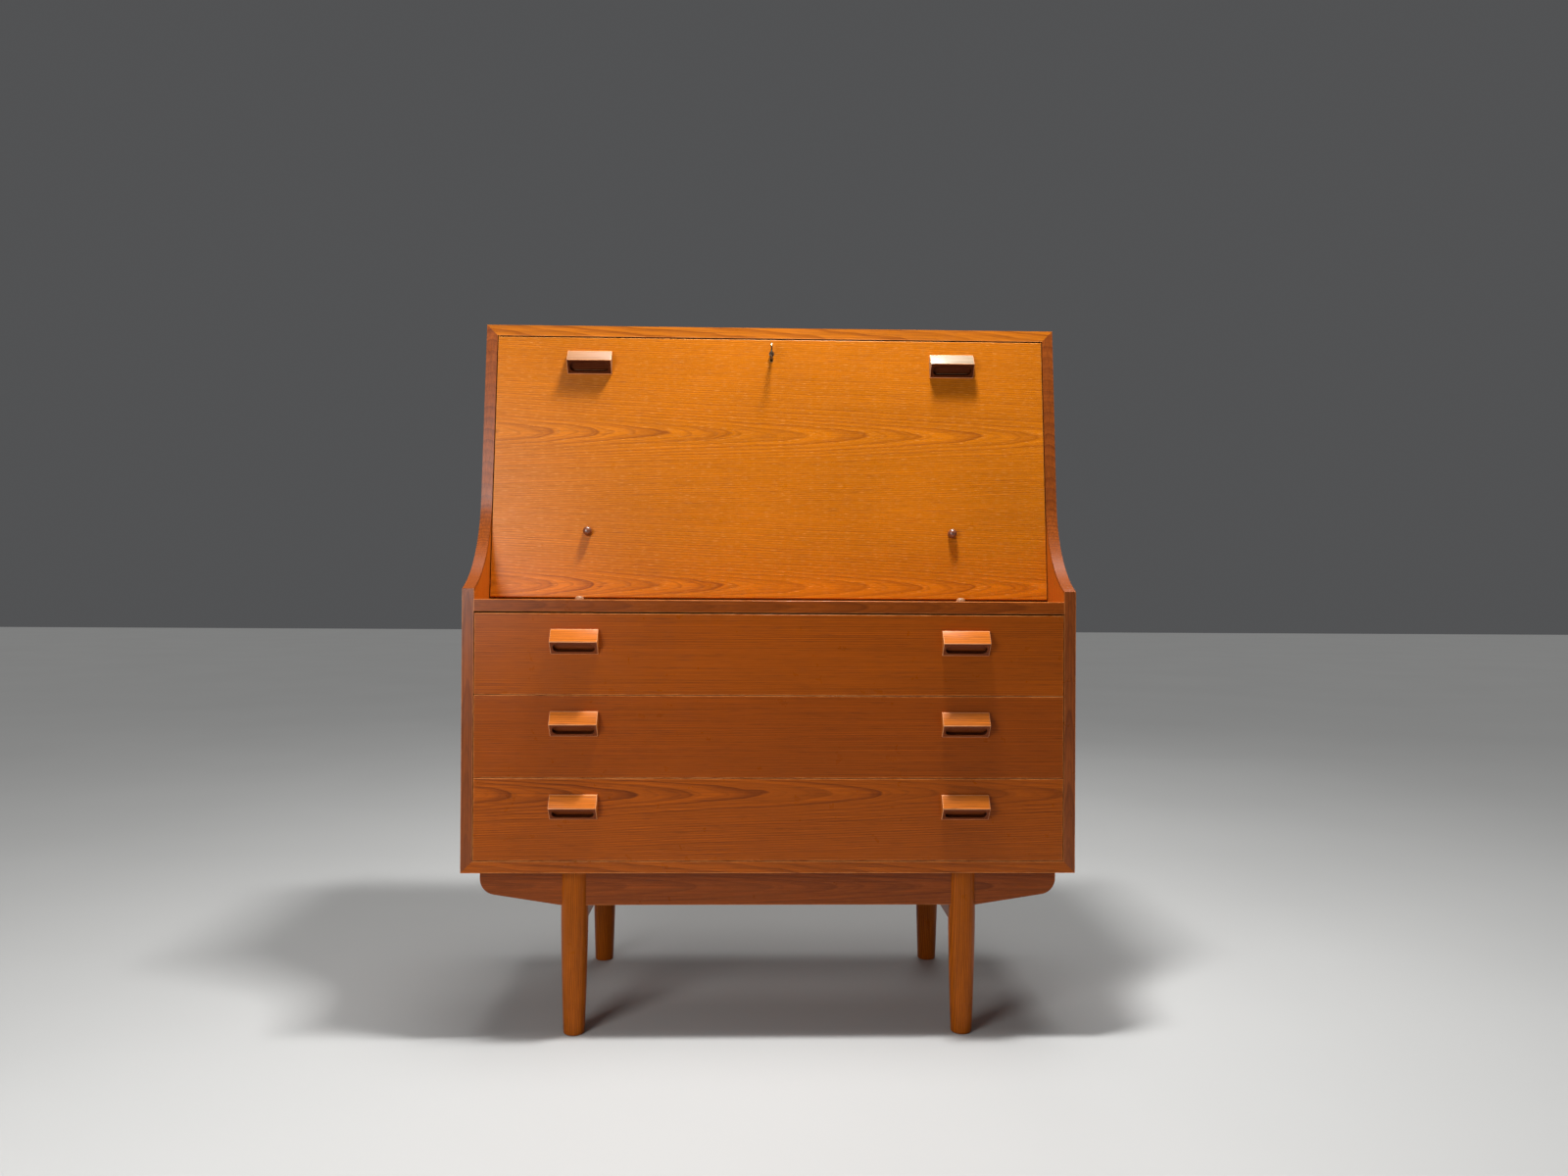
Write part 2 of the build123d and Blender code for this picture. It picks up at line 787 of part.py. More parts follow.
tenon_low = side_rail_bottom + (leg_fork - side_rail_bottom - tenon[1]) / 2
tenon_reach = (leg_depths[0] + leg_radius - tenon[2], leg_depths[1] - leg_radius + tenon[2])
for side, side_name in ((-1, "left"), (1, "right")):
    x = side * leg_spacing
    leg_places = [(x, at(depth), 0) for depth in leg_depths]
    tenon_x = (x - tenon[0] / 2, x + tenon[0] / 2)
    tenon_z = (tenon_low, tenon_low + tenon[1])
    with BuildPart() as side_rail:
        block(
            (x - side_rail_board / 2, x + side_rail_board / 2),
            leg_depths,
            (side_rail_bottom, side_rail_bottom + rail_height),
        )
        fillet(side_rail.edges().filter_by(Axis.Y), 1.5)
        for place in leg_places:
            add(leg_blank.part.moved(Location(place)), mode=Mode.SUBTRACT)
        block(tenon_x, tenon_reach, tenon_z)
    save(side_rail, f"base_side_rail_{side_name}")

    for place, depth, end_name in zip(leg_places, leg_depths, ("front", "back")):
        with BuildPart() as leg:
            add(leg_blank.part.moved(Location(place)))
            block(
                (x - 2 * leg_radius, x + 2 * leg_radius),
                (depth - rail_board / 2, depth + rail_board / 2),
                (leg_fork, case_bottom),
                mode=Mode.SUBTRACT,
            )
            block(tenon_x, tenon_reach, tenon_z, mode=Mode.SUBTRACT)
        save(leg, f"leg_{end_name}_{side_name}")

for depth, end_name in zip(leg_depths, ("front", "back")):
    with BuildPart() as long_rail:
        with BuildSketch(Plane.XZ.offset(-at(depth))) as rail_outline:
            with BuildLine():
                Polyline(
                    (0, case_bottom),
                    (0, leg_fork),
                    (rail_taper_start, leg_fork),
                    (rail_half_length, leg_fork + rail_end_rise),
                    (rail_half_length, case_bottom),
                    (0, case_bottom),
                )
            make_face()
            lower_corner = rail_outline.vertices().group_by(Axis.X)[-1].sort_by(Axis.Y)[0]
            fillet(lower_corner, rail_end_radius)
            mirror(about=Plane.YZ)
        extrude(amount=rail_board / 2, both=True)
        with Locations(*[(px, py, leg_fork) for px, py in base_screw_points]):
            Cylinder(
                base_screw_bore,
                rail_height - base_screw_seat,
                align=above,
                mode=Mode.SUBTRACT,
            )
        add(base_screws.part, mode=Mode.SUBTRACT)
    save(long_rail, f"base_{end_name}_rail")
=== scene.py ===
import bmesh
import bpy
import json
import math
from mathutils import Matrix, Vector

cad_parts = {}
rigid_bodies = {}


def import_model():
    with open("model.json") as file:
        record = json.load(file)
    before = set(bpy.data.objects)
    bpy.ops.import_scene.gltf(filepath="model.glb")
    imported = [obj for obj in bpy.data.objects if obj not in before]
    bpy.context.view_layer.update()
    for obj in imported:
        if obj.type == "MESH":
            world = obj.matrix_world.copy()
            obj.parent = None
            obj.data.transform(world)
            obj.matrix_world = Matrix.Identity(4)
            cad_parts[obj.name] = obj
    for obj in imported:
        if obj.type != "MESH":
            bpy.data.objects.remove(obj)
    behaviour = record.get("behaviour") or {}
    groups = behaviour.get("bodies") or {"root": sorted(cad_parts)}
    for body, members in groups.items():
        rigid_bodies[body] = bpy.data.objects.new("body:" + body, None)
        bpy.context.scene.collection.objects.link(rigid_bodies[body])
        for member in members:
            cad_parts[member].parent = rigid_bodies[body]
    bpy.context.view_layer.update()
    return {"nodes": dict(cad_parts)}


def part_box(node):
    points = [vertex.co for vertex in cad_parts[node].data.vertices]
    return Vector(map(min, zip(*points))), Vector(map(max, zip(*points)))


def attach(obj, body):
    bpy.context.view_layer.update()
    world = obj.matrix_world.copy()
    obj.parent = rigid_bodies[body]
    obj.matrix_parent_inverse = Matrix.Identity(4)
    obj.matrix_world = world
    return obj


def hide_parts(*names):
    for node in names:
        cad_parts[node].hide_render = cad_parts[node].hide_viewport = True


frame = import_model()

nodes = frame["nodes"]
print("frame loaded:", len(nodes), "parts")

lean = math.radians(6.28)  # slope of the fall front
flapUp = Vector((0, math.sin(lean), math.cos(lean)))
flapFoot = Vector((0, -0.1160, 0.7227))  # outer face at the ledge
flapLength = 0.4676

# Camera

cameraSet = {
    "spot": (-0.0282, -2.0631, 0.7346),
    "yaw": 0.02658,
    "pitch": 0.0050,
    "roll": 0.00594,
    "lens": 25.72,
    "sensor": 36,
}


def placeCamera():
    yaw, pitch, roll = cameraSet["yaw"], cameraSet["pitch"], cameraSet["roll"]
    ahead = Vector((math.sin(yaw) * math.cos(pitch), math.cos(yaw) * math.cos(pitch), math.sin(pitch)))
    level = Vector((math.cos(yaw), -math.sin(yaw), 0))
    over = level.cross(ahead)
    right = level * math.cos(roll) + over * math.sin(roll)
    up = over * math.cos(roll) - level * math.sin(roll)
    turn = Matrix((right, up, -ahead)).transposed().to_4x4()
    camera = bpy.data.objects.new("deskCamera", bpy.data.cameras.new("deskCamera"))
    bpy.context.scene.collection.objects.link(camera)
    camera.data.sensor_width = cameraSet["sensor"]
    camera.data.lens = cameraSet["lens"]
    camera.matrix_world = Matrix.Translation(cameraSet["spot"]) @ turn
    bpy.context.scene.camera = camera


placeCamera()
print("camera placed")

# Node helpers


def connect(tree, source, socket):
    if isinstance(source, bpy.types.NodeSocket):
        tree.links.new(source, socket)
    else:
        socket.default_value = source


def calc(tree, operation, *values):
    node = tree.nodes.new("ShaderNodeMath")
    node.operation = operation
    for slot, value in zip(node.inputs, values):
        connect(tree, value, slot)
    return node.outputs[0]


def calcVector(tree, operation, first, second):
    node = tree.nodes.new("ShaderNodeVectorMath")
    node.operation = operation
    connect(tree, first, node.inputs[0])
    connect(tree, second, node.inputs[1])
    return node.outputs[0]


def remap(tree, value, fromLow, fromHigh, toLow=0.0, toHigh=1.0, smooth=False):
    node = tree.nodes.new("ShaderNodeMapRange")
    node.interpolation_type = "SMOOTHSTEP" if smooth else "LINEAR"
    for slot, number in zip(node.inputs, (value, fromLow, fromHigh, toLow, toHigh)):
        connect(tree, number, slot)
    return node.outputs[0]


def mixColour(tree, amount, first, second, how="MIX"):
    node = tree.nodes.new("ShaderNodeMix")
    node.data_type = "RGBA"
    node.blend_type = how
    connect(tree, amount, node.inputs[0])
    connect(tree, first, node.inputs[6])
    connect(tree, second, node.inputs[7])
    return node.outputs[2]


def noise(tree, vector, seed, detail=2.0, roughness=0.5):
    node = tree.nodes.new("ShaderNodeTexNoise")
    node.noise_dimensions = "4D"
    connect(tree, vector, node.inputs["Vector"])
    connect(tree, seed, node.inputs["W"])
    node.inputs["Scale"].default_value = 1.0
    node.inputs["Detail"].default_value = detail
    node.inputs["Roughness"].default_value = roughness
    return node.outputs["Fac"]


def startGroup(name, inputs, outputs):
    group = bpy.data.node_groups.new(name, "ShaderNodeTree")
    for label, value in inputs.items():
        kind = "NodeSocketVector" if isinstance(value, tuple) else "NodeSocketFloat"
        socket = group.interface.new_socket(name=label, in_out="INPUT", socket_type=kind)
        socket.default_value = value
    for label in outputs:
        group.interface.new_socket(name=label, in_out="OUTPUT", socket_type="NodeSocketFloat")
    start = group.nodes.new("NodeGroupInput")
    end = group.nodes.new("NodeGroupOutput")
    return group, start.outputs, end.inputs


def placeGroup(tree, group, **values):
    node = tree.nodes.new("ShaderNodeGroup")
    node.node_tree = group
    for label, value in values.items():
        connect(tree, value, node.inputs[label])
    return node.outputs


# Shared shader groups

rings = {
    "slowScale": (2.2, 9, 9),
    "quickScale": (16, 60, 60),
    "quickShare": 0.20,  # of the wander that the slow noise gives
    "late": (0.30, 0.90, 1.0),  # where in a ring the late wood starts, peaks and ends
    "line": (0.80, 0.92),  # where the fine dark line at the end of a ring starts and is full
    "strength": (0.25, 1.0),
    "faint": (0.40, 0.60, 0.25),  # range of the slow noise where the lines fade, and how far
    "fineCount": 2.63,  # fine lines for each ring
    "fineFrom": 0.55,
    "fineStrength": 0.45,
    "porous": (0.02, 0.35),
}


def growthRingsGroup():  # rings of a log, cut by the board: X is along the grain, Z into the board
    given = {
        "Grain": (0, 0, 0),
        "HeartDepth": 0.03,
        "Taper": 0.03,
        "RingWidth": 0.0034,
        "Wander": 0.01,
        "Seed": 0.0,
    }
    group, given, made = startGroup("growthRings", given, ("Late", "Line", "Porous", "Tone"))
    grain, seed, wander = given["Grain"], given["Seed"], given["Wander"]
    parts = group.nodes.new("ShaderNodeSeparateXYZ")
    connect(group, grain, parts.inputs[0])
    slow = noise(group, calcVector(group, "MULTIPLY", grain, rings["slowScale"]), seed, 2.0, 0.45)
    quick = noise(group, calcVector(group, "MULTIPLY", grain, rings["quickScale"]), seed, 2.0, 0.5)
    depth = calc(group, "ADD", parts.outputs["Z"], given["HeartDepth"])
    across = calc(group, "POWER", parts.outputs["Y"], 2.0)
    squares = calc(group, "ADD", across, calc(group, "POWER", depth, 2.0))
    radius = calc(group, "SQRT", squares)
    radius = calc(group, "MULTIPLY_ADD", parts.outputs["X"], given["Taper"], radius)
    radius = calc(group, "MULTIPLY_ADD", calc(group, "SUBTRACT", slow, 0.5), wander, radius)
    small = calc(group, "MULTIPLY", wander, rings["quickShare"])
    radius = calc(group, "MULTIPLY_ADD", calc(group, "SUBTRACT", quick, 0.5), small, radius)
    count = calc(group, "DIVIDE", radius, given["RingWidth"])
    share = calc(group, "FRACT", count)
    dice = group.nodes.new("ShaderNodeTexWhiteNoise")
    dice.noise_dimensions = "1D"
    connect(group, calc(group, "ADD", calc(group, "FLOOR", count), seed), dice.inputs["W"])

    start, peak, end = rings["late"]
    rise = remap(group, share, start, peak, smooth=True)
    fall = remap(group, share, peak, end, 1.0, 0.0, smooth=True)
    strength = remap(group, dice.outputs["Value"], 0.0, 1.0, *rings["strength"])
    late = calc(group, "MULTIPLY", calc(group, "MULTIPLY", rise, fall), strength)

    faintLow, faintHigh, faintLeast = rings["faint"]
    faint = remap(group, slow, faintLow, faintHigh, faintLeast, 1.0, smooth=True)
    line = remap(group, share, *rings["line"], smooth=True)
    line = calc(group, "MULTIPLY", line, fall)
    line = calc(group, "MULTIPLY", calc(group, "MULTIPLY", line, strength), faint)
    fineShare = calc(group, "FRACT", calc(group, "MULTIPLY", count, rings["fineCount"]))
    fineRise = remap(group, fineShare, rings["fineFrom"], peak, smooth=True)
    fineFall = remap(group, fineShare, peak, end, rings["fineStrength"], 0.0, smooth=True)
    fine = calc(group, "MULTIPLY", calc(group, "MULTIPLY", fineRise, fineFall), faint)

    porousFull, porousGone = rings["porous"]
    porous = remap(group, share, porousFull, porousGone, 1.0, 0.0, smooth=True)
    connect(group, late, made["Late"])
    connect(group, calc(group, "MAXIMUM", line, fine), made["Line"])
    connect(group, porous, made["Porous"])
    connect(group, dice.outputs["Value"], made["Tone"])
    return group


fibres = {
    "poreScale": (9, 2.2, 2.2),
    "fleckScale": (22, 2.0, 2.0),
    "pores": (0.56, 0.70),
    "flecks": (0.54, 0.72),
    "poreSeed": 7.3,
    "fleckSeed": 3.1,
}


def fibreGroup():  # streaks, dark pores and pale flecks, all drawn out along the grain
    given = {"Grain": (0, 0, 0), "Length": 0.09, "Width": 0.0025, "Seed": 0.0}
    group, given, made = startGroup("fibre", given, ("Streak", "Pore", "Fleck"))
    seed = given["Seed"]
    size = group.nodes.new("ShaderNodeCombineXYZ")
    connect(group, given["Length"], size.inputs["X"])
    connect(group, given["Width"], size.inputs["Y"])
    connect(group, given["Width"], size.inputs["Z"])
    stretched = calcVector(group, "DIVIDE", given["Grain"], size.outputs[0])
    streak = noise(group, stretched, seed, 3.0, 0.6)
    poreSpace = calcVector(group, "MULTIPLY", stretched, fibres["poreScale"])
    pore = noise(group, poreSpace, calc(group, "ADD", seed, fibres["poreSeed"]), 1.0, 0.5)
    fleckSpace = calcVector(group, "MULTIPLY", stretched, fibres["fleckScale"])
    fleck = noise(group, fleckSpace, calc(group, "ADD", seed, fibres["fleckSeed"]), 1.0, 0.5)
    connect(group, streak, made["Streak"])
    connect(group, remap(group, pore, *fibres["pores"], smooth=True), made["Pore"])
    connect(group, remap(group, fleck, *fibres["flecks"], smooth=True), made["Fleck"])
    return group


wear = {
    "patchScale": 60,
    "patches": (0.3, 0.7),
    "reach": (0.3, 1.6),
    "cloud": (0.3, 0.7),
    "rubbedScale": 7,
}


def edgeWearAndHighlightGroup():  # 1 on the edges of a board between two corners, 0 on its faces; the pale colour laid there stands for both edge wear and a painted highlight along the edges
    given = {"Place": (0, 0, 0), "Low": (0, 0, 0), "High": (1, 1, 1), "Reach": 0.002, "Seed": 0.0}
    group, given, made = startGroup("edgeWearAndHighlight", given, ("Edge",))
    place = given["Place"]
    fromLow = calcVector(group, "SUBTRACT", place, given["Low"])
    fromHigh = calcVector(group, "SUBTRACT", given["High"], place)
    nearest = group.nodes.new("ShaderNodeSeparateXYZ")
    connect(group, calcVector(group, "MINIMUM", fromLow, fromHigh), nearest.inputs[0])
    x, y, z = nearest.outputs
    smallest = calc(group, "MINIMUM", x, y)
    second = calc(group, "MINIMUM", calc(group, "MAXIMUM", x, y), z)
    second = calc(group, "MAXIMUM", second, smallest)  # an edge is where two of the three are small
    patchSpace = calcVector(group, "MULTIPLY", place, (wear["patchScale"],) * 3)
    patchy = noise(group, patchSpace, given["Seed"], 3.0, 0.6)
    reach = calc(group, "MULTIPLY", given["Reach"], remap(group, patchy, *wear["patches"], *wear["reach"]))
    edge = remap(group, calc(group, "DIVIDE", second, reach), 0.0, 1.0, 1.0, 0.0, smooth=True)
    connect(group, edge, made["Edge"])
    return group


def handlingGroup():  # cloudy changes of tone, and of how worn the satin finish is
    group, given, made = startGroup(
        "handling", {"Place": (0, 0, 0), "Size": 0.2, "Seed": 0.0}, ("Cloud", "Polish")
    )
    step = group.nodes.new("ShaderNodeCombineXYZ")
    for axis in "XYZ":
        connect(group, given["Size"], step.inputs[axis])
    stretched = calcVector(group, "DIVIDE", given["Place"], step.outputs[0])
    cloud = noise(group, stretched, given["Seed"], 2.0, 0.5)
    rubbedSpace = calcVector(group, "MULTIPLY", stretched, (wear["rubbedScale"],) * 3)
    rubbed = noise(group, rubbedSpace, given["Seed"], 4.0, 0.6)
    connect(group, remap(group, cloud, *wear["cloud"]), made["Cloud"])
    connect(group, remap(group, rubbed, *wear["cloud"]), made["Polish"])
    return group


growthRings = growthRingsGroup()
fibre = fibreGroup()
edgeWearAndHighlight = edgeWearAndHighlightGroup()
handling = handlingGroup()
print("shader groups built")

# Wood

flapTeak = {
    "early": (0.54, 0.148, 0.002, 1),
    "late": (0.26, 0.058, 0.003, 1),
    "pore": (0.17, 0.036, 0.003, 1),
    "fleck": (0.86, 0.38, 0.10, 1),
    # worn: the edge colour, for edge wear and a painted highlight along the edges
    "worn": (0.90, 0.45, 0.14, 1),
    "lateStrength": 0.62,
    "lineStrength": 0.8,
    "streakStrength": 0.11,
    "poreStrength": 0.40,
    "fleckStrength": 0.55,
    "edgeStrength": 0.4,
    "edgeReach": 0.0015,
    "cloudStrength": 0.06,
    "ringWidth": 0.0036,
    "heartDepth": 0.034,
    "taper": 0.034,
    "wander": 0.010,
    "fibreLength": 0.28,
    "fibreWidth": 0.0016,
    "roughness": (0.26, 0.35),
    "shine": 0.22,
    "bump": 0.06,
}
drawerTeak = dict(
    flapTeak,
    early=(0.38, 0.076, 0.001, 1),
    late=(0.14, 0.024, 0.001, 1),
    pore=(0.10, 0.018, 0.001, 1),
    fleck=(0.55, 0.20, 0.05, 1),
    worn=(0.80, 0.28, 0.07, 1),
    fleckStrength=0.15,
    lateStrength=0.75,
    lineStrength=0.6,
    streakStrength=0.20,
    # the drawer fronts' edges are strongly paled: edge wear and a painted highlight
    edgeStrength=0.9,
    ringWidth=0.0034,
    shine=0.22,
)
straightTeak = dict(
    drawerTeak,
    lateStrength=0.65,
    lineStrength=0.35,
    streakStrength=0.20,
    ringWidth=0.0028,
    taper=0.006,
    wander=0.007,
    fibreLength=0.35,
    fibreWidth=0.0018,
)
caseTeak = dict(
    drawerTeak,
    early=(0.46, 0.108, 0.002, 1),
    late=(0.20, 0.040, 0.002, 1),
    heartDepth=0.05,
    ringWidth=0.0028,
    taper=0.02,
    edgeStrength=0.6,
)
solidTeak = dict(
    caseTeak,
    early=(0.36, 0.076, 0.003, 1),
    late=(0.15, 0.029, 0.002, 1),
    wander=0.005,
    ringWidth=0.0026,
    fibreWidth=0.0018,
    edgeStrength=0.4,
)
legTeak = dict(solidTeak, early=(0.41, 0.094, 0.002, 1), edgeStrength=0.0, shine=0.12)
railTeak = dict(solidTeak, early=(0.26, 0.052, 0.003, 1), late=(0.12, 0.024, 0.002, 1))
edgingTeak = dict(solidTeak, early=(0.25, 0.054, 0.005, 1), late=(0.14, 0.028, 0.003, 1), shine=0.38)
pullTeak = dict(
    solidTeak,
    early=(0.60, 0.155, 0.015, 1),
    late=(0.34, 0.080, 0.008, 1),
    edgeStrength=0.0,
)
# The pulls' rounded edges are paler: painted highlight along them.
pullEdgeHighlightTeak = dict(pullTeak, early=(0.78, 0.34, 0.15, 1), late=(0.55, 0.20, 0.07, 1))
# The pulls' undersides and finger slots are given dark colours: painted shade under the pulls and inside
# the slots.
pullUnderShadeTeak = dict(pullTeak, early=(0.18, 0.036, 0.007, 1), late=(0.10, 0.020, 0.005, 1), shine=0.12)
deepUnderShadeTeak = dict(pullTeak, early=(0.075, 0.014, 0.002, 1), late=(0.04, 0.008, 0.002, 1), shine=0.05)
# The flap pulls and the ledge pegs are paled to a pinkish tan, the right flap pull further to a grey tan:
# painted sheen of the lamps on them.
sheenPaintedPullTeak = dict(pullTeak, early=(0.32, 0.165, 0.085, 1), late=(0.22, 0.100, 0.048, 1))
glarePaintedPullTeak = dict(sheenPaintedPullTeak, early=(0.31, 0.235, 0.155, 1), late=(0.22, 0.150, 0.095, 1))
pegTeak = dict(pullTeak, early=(0.17, 0.048, 0.018, 1), late=(0.08, 0.022, 0.009, 1), shine=0.9)
pullSlotShadeTeak = dict(pullTeak, early=(0.035, 0.007, 0.002, 1), late=(0.020, 0.005, 0.002, 1), shine=0.05)
insideTeak = dict(
    flapTeak,
    early=(0.60, 0.29, 0.10, 1),
    late=(0.38, 0.16, 0.05, 1),
    pore=(0.26, 0.11, 0.04, 1),
    worn=(0.74, 0.42, 0.18, 1),
)
boxWood = dict(
    flapTeak,
    early=(0.66, 0.49, 0.29, 1),
    late=(0.52, 0.34, 0.18, 1),
    pore=(0.40, 0.25, 0.13, 1),
    fleck=(0.76, 0.60, 0.40, 1),
    worn=(0.74, 0.58, 0.38, 1),
    lateStrength=0.45,
    roughness=(0.55, 0.68),
)
backWood = dict(
    boxWood,
    early=(0.44, 0.25, 0.12, 1),
    late=(0.27, 0.14, 0.06, 1),
    worn=(0.60, 0.42, 0.24, 1),
    lateStrength=0.8,
    cloudStrength=0.16,
    ringWidth=0.006,
    taper=0.05,
)

grainOrders = {
    "frontX": ("X", "Z", "Y"),  # grain across a face that looks forwards
    "frontZ": ("Z", "X", "Y"),  # grain up a face that looks forwards
    "sideZ": ("Z", "Y", "X"),  # grain up a face that looks sideways
    "sideY": ("Y", "Z", "X"),  # grain backwards on a face that looks sideways
    "flatX": ("X", "Y", "Z"),  # grain across a level face
}
veneerLeaves = {  # the fall front's two leaves of veneer, in heights up its face
    "seam": 0.160,
    "hearts": (0.025, 0.295),
    "shift": 0.12,  # turns the lower leaf's figure a little away from the upper one's
}
woodFinish = {
    "strandSeed": 11.0,
    "edgeSeed": 5.0,
    "cloudSeed": 2.0,
    "cloudSize": 0.22,
    "streaks": (0.35, 0.65),
    "tones": (0.92, 1.06),
    "fleckLeast": 0.35,
    "poreRough": 0.10,
    "streakHeight": 0.5,
    "poreHeight": -0.6,
    "lateHeight": 0.2,
}


def newMaterial(name):
    material = bpy.data.materials.new(name)
    material.use_nodes = True
    tree = material.node_tree
    tree.nodes.clear()
    shader = tree.nodes.new("ShaderNodeBsdfPrincipled")
    output = tree.nodes.new("ShaderNodeOutputMaterial")
    connect(tree, shader.outputs[0], output.inputs["Surface"])
    return material, tree, shader


def objectPlace(tree, spot=(0, 0, 0), turn=(0, 0, 0)):
    source = tree.nodes.new("ShaderNodeTexCoord")
    mapping = tree.nodes.new("ShaderNodeMapping")
    mapping.vector_type = "TEXTURE"
    connect(tree, source.outputs["Object"], mapping.inputs["Vector"])
    mapping.inputs["Location"].default_value = spot
    mapping.inputs["Rotation"].default_value = turn
    return mapping.outputs[0]


def addBump(tree, shader, height, strength, distance=0.001):
    bump = tree.nodes.new("ShaderNodeBump")
    bump.inputs["Strength"].default_value = strength
    bump.inputs["Distance"].default_value = distance
    connect(tree, height, bump.inputs["Height"])
    connect(tree, bump.outputs[0], shader.inputs["Normal"])


def woodMaterial(name, wood, order, heart, box, seed, turn=(0, 0, 0), leaves=False):
    material, tree, shader = newMaterial(name)
    place = objectPlace(tree, heart, turn)
    letters = grainOrders[order]
    parts = tree.nodes.new("ShaderNodeSeparateXYZ")
    connect(tree, place, parts.inputs[0])
    grain = tree.nodes.new("ShaderNodeCombineXYZ")
    for axis, letter in zip("XYZ", letters):
        connect(tree, parts.outputs[letter], grain.inputs[axis])
    ringSeed = float(seed)
    if leaves:  # each leaf has its own heart line, with nearly the same figure
        upper = calc(tree, "GREATER_THAN", parts.outputs["Z"], veneerLeaves["seam"])
        line = remap(tree, upper, 0.0, 1.0, *veneerLeaves["hearts"])
        connect(tree, calc(tree, "SUBTRACT", parts.outputs["Z"], line), grain.inputs["Y"])
        ringSeed = remap(tree, upper, 0.0, 1.0, seed + veneerLeaves["shift"], float(seed))
    grain = grain.outputs[0]
    figure = placeGroup(
        tree,
        growthRings,
        Grain=grain,
        HeartDepth=wood["heartDepth"],
        Taper=wood["taper"],
        RingWidth=wood["ringWidth"],
        Wander=wood["wander"],
        Seed=ringSeed,
    )
    strands = placeGroup(
        tree,
        fibre,
        Grain=grain,
        Length=wood["fibreLength"],
        Width=wood["fibreWidth"],
        Seed=seed + woodFinish["strandSeed"],
    )
    low, high = [Vector(corner) - Vector(heart) for corner in box]
    edge = placeGroup(
        tree,
        edgeWearAndHighlight,
        Place=place,
        Low=low,
        High=high,
        Reach=wood["edgeReach"],
        Seed=seed + woodFinish["edgeSeed"],
    )["Edge"]
    cloudSeed = seed + woodFinish["cloudSeed"]
    worn = placeGroup(tree, handling, Place=place, Size=woodFinish["cloudSize"], Seed=cloudSeed)

    def amount(mask, label):
        return calc(tree, "MULTIPLY", mask, wood[label])

    def around(value, low, high, label):  # 1 on average, more or less by the wood's own strength
        return remap(tree, value, low, high, 1.0 - wood[label], 1.0 + wood[label])

    colour = mixColour(tree, amount(figure["Late"], "lateStrength"), wood["early"], wood["late"])
    colour = mixColour(tree, amount(figure["Line"], "lineStrength"), colour, wood["pore"])
    streak = around(strands["Streak"], *woodFinish["streaks"], "streakStrength")
    tone = remap(tree, figure["Tone"], 0.0, 1.0, *woodFinish["tones"])
    cloud = around(worn["Cloud"], 0.0, 1.0, "cloudStrength")
    lift = calc(tree, "MULTIPLY", calc(tree, "MULTIPLY", streak, tone), cloud)
    grey = tree.nodes.new("ShaderNodeCombineColor")
    for label in ("Red", "Green", "Blue"):
        connect(tree, lift, grey.inputs[label])
    colour = mixColour(tree, 1.0, colour, grey.outputs[0], "MULTIPLY")
    colour = mixColour(tree, amount(strands["Pore"], "poreStrength"), colour, wood["pore"])
    fewer = remap(tree, figure["Porous"], 0.0, 1.0, woodFinish["fleckLeast"], 1.0)
    flecks = calc(tree, "MULTIPLY", strands["Fleck"], fewer)
    colour = mixColour(tree, amount(flecks, "fleckStrength"), colour, wood["fleck"])
    # pale edges: edge wear and a painted highlight along the edges
    colour = mixColour(tree, amount(edge, "edgeStrength"), colour, wood["worn"])
    connect(tree, colour, shader.inputs["Base Color"])

    rough = remap(tree, worn["Polish"], 0.0, 1.0, *wood["roughness"])
    rough = calc(tree, "MULTIPLY_ADD", strands["Pore"], woodFinish["poreRough"], rough)
    connect(tree, rough, shader.inputs["Roughness"])
    shader.inputs["Specular IOR Level"].default_value = wood["shine"]
    height = calc(tree, "MULTIPLY", strands["Streak"], woodFinish["streakHeight"])
    height = calc(tree, "MULTIPLY_ADD", strands["Pore"], woodFinish["poreHeight"], height)
    height = calc(tree, "MULTIPLY_ADD", figure["Late"], woodFinish["lateHeight"], height)
    addBump(tree, shader, height, wood["bump"])
    return material


def dressNode(node, material):
    for slotOfNode in nodes[node].material_slots:
        slotOfNode.material = material


def dressBoard(node, wood, order, seed, heart=None, turn=(0, 0, 0), leaves=False, box=None):
    low, high = [Vector(corner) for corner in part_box(node)]
    spot = (low + high) / 2 if heart is None else Vector(heart)
    material = woodMaterial(node + "Wood", wood, order, spot, box or (low, high), seed, turn, leaves)
    dressNode(node, material)


flapCorners = ((-0.4845, -0.0005, 0.0024), (0.4845, 0.019, flapLength))  # from its foot, before it leans
hearts = {
    "bottomDrawer": 0.405,  # a height within the front, so that its grain arches
    "middleDrawer": 0.24,  # below the front's top edge, out of sight
    "topDrawer": 0.21,  # above the front's bottom edge, out of sight
    "leg": (0.03, 0.05),  # beside the leg and behind it
}


